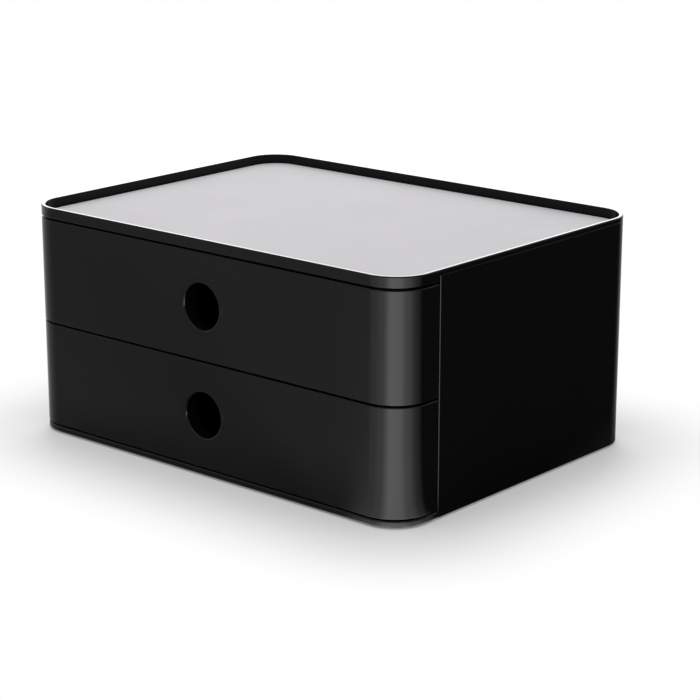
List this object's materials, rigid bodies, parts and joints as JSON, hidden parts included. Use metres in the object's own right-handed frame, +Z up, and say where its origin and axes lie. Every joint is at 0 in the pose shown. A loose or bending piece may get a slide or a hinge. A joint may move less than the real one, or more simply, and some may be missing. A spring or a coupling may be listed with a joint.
{
  "type": "desk organizer box with two drawers",
  "caption": "Low desk box with wrap-round drawer fronts, lipped round finger holes, rounded corners and a shallow rimmed tray on top.",
  "frame": {"origin": "on the supporting surface, under the middle of the closed box", "axes": "+X to the right seen from the front, -Y out of the front towards the user, +Z up"},
  "size_m": [0.26, 0.195, 0.125],
  "materials": {
    "gloss_shell": "polished black, moulded",
    "deck_plate": "fine matte pale grey, moulded",
    "inner_moulding": "satin black, moulded",
    "foot_rubber": "dull black",
    "screw_steel": "zinc plated"
  },
  "bodies": {
    "housing": {"outer_jacket": "gloss_shell", "top_frame": "gloss_shell", "deck_insert": "deck_plate", "divider_shelf": "inner_moulding", "base_pan": "gloss_shell", "left_side_frame": "inner_moulding", "right_side_frame": "inner_moulding", "foot_front_left": "foot_rubber", "foot_front_right": "foot_rubber", "foot_back_left": "foot_rubber", "foot_back_right": "foot_rubber", "base_screws": "screw_steel"},
    "upper_drawer": {"upper_drawer_front": "gloss_shell", "upper_drawer_tray": "inner_moulding", "upper_grip_ring": "gloss_shell", "upper_front_screws": "screw_steel"},
    "lower_drawer": {"lower_drawer_front": "gloss_shell", "lower_drawer_tray": "inner_moulding", "lower_grip_ring": "gloss_shell", "lower_front_screws": "screw_steel"}
  },
  "joints": [
    {"name": "upper_drawer_slide", "type": "slide", "parent": "housing", "child": "upper_drawer", "axis": [0, -1, 0], "range_m": [0, 0.13]},
    {"name": "lower_drawer_slide", "type": "slide", "parent": "housing", "child": "lower_drawer", "axis": [0, -1, 0], "range_m": [0, 0.13]}
  ]
}
